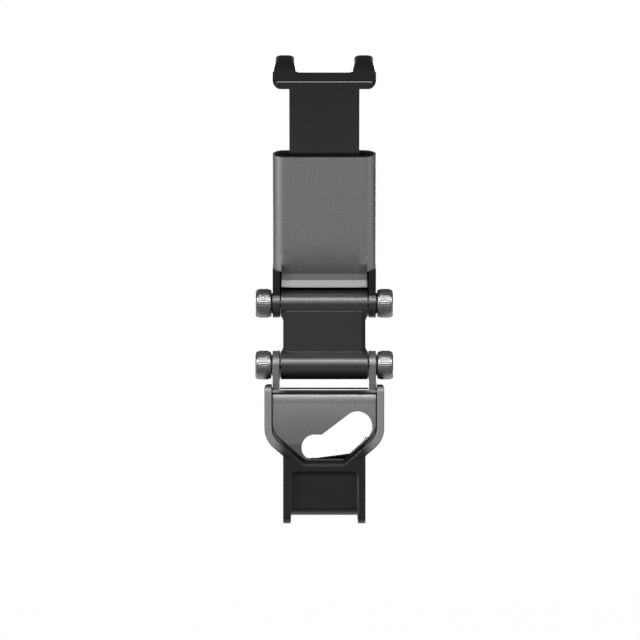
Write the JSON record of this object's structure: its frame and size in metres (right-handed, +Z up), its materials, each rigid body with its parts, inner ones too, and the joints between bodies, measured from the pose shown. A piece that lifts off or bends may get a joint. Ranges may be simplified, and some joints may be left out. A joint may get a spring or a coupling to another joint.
{
  "type": "phone clamp for game controller",
  "caption": "Folding phone clamp: a cradle that clips round a game controller's back, a link on toothed thumb hinges and a sprung two-pronged phone clamp.",
  "frame": {"origin": "middle of the seat pad's face, where the game controller's back edge rests in the cradle", "axes": "+X along the hinge axes, to the side of the round end of the window; +Y out of the seat, towards the user; +Z up, from the cradle towards the phone"},
  "size_m": [0.045, 0.043, 0.1516],
  "materials": {
    "cradle_plastic": "fine matte moulding, satin on the rib edges",
    "link_plastic": "fine matte moulding, satin barrels",
    "clamp_plastic": "fine matte moulding",
    "arm_plastic": "fine matte moulding",
    "guide_plastic": "matte moulding",
    "plate_metal": "gunmetal satin paint with a fine metallic speckle",
    "yoke_metal": "gunmetal satin paint",
    "housing_metal": "gunmetal satin paint with a fine metallic speckle",
    "knob_steel": "darkened steel, straight knurl",
    "washer_steel": "blackened steel",
    "screw_steel": "blackened steel",
    "spring_steel": "drawn spring wire",
    "pad_rubber": "soft dark grey rubber"
  },
  "bodies": {
    "cradle": {"cradle_body": "cradle_plastic", "cover_plate": "plate_metal", "hinge_yoke": "yoke_metal", "seat_pad": "pad_rubber", "fork_pad_left": "pad_rubber", "fork_pad_right": "pad_rubber", "hook_pad": "pad_rubber", "cradle_screws": "screw_steel", "lower_washers": "washer_steel"},
    "link": {"link_body": "link_plastic"},
    "lower_bolt": {"lower_thumb_bolt": "knob_steel"},
    "lower_nut": {"lower_thumb_nut": "knob_steel"},
    "clamp": {"clamp_body": "clamp_plastic", "clamp_housing": "housing_metal", "mouth_guide": "guide_plastic", "back_pad": "pad_rubber", "lower_jaw_pad_left": "pad_rubber", "lower_jaw_pad_right": "pad_rubber", "clamp_screws": "screw_steel", "jaw_spring_left": "spring_steel", "jaw_spring_right": "spring_steel", "upper_washers": "washer_steel"},
    "upper_bolt": {"upper_thumb_bolt": "knob_steel"},
    "upper_nut": {"upper_thumb_nut": "knob_steel"},
    "jaw": {"jaw_arm": "arm_plastic", "upper_jaw_pad_left": "pad_rubber", "upper_jaw_pad_right": "pad_rubber"}
  },
  "joints": [
    {"name": "lower_hinge", "type": "hinge", "parent": "cradle", "child": "link", "pos_m": [0, 0.001, 0.03925], "axis": [1, 0, 0], "range_deg": [-36, 90]},
    {"name": "upper_hinge", "type": "hinge", "parent": "link", "child": "clamp", "pos_m": [0, 0.00743, 0.05903], "axis": [1, 0, 0], "range_deg": [-36, 72]},
    {"name": "jaw_slide", "type": "slide", "parent": "clamp", "child": "jaw", "axis": [0, -0.309, 0.9511], "range_m": [-0.016, 0.008], "deforming": ["jaw_spring_left", "jaw_spring_right"]},
    {"name": "lower_bolt_turn", "type": "hinge", "parent": "cradle", "child": "lower_bolt", "pos_m": [0, 0.001, 0.03925], "axis": [1, 0, 0], "continuous": true},
    {"name": "lower_nut_turn", "type": "hinge", "parent": "cradle", "child": "lower_nut", "pos_m": [0, 0.001, 0.03925], "axis": [1, 0, 0], "continuous": true},
    {"name": "upper_bolt_turn", "type": "hinge", "parent": "clamp", "child": "upper_bolt", "pos_m": [0, 0.00743, 0.05903], "axis": [1, 0, 0], "continuous": true},
    {"name": "upper_nut_turn", "type": "hinge", "parent": "clamp", "child": "upper_nut", "pos_m": [0, 0.00743, 0.05903], "axis": [1, 0, 0], "continuous": true}
  ]
}
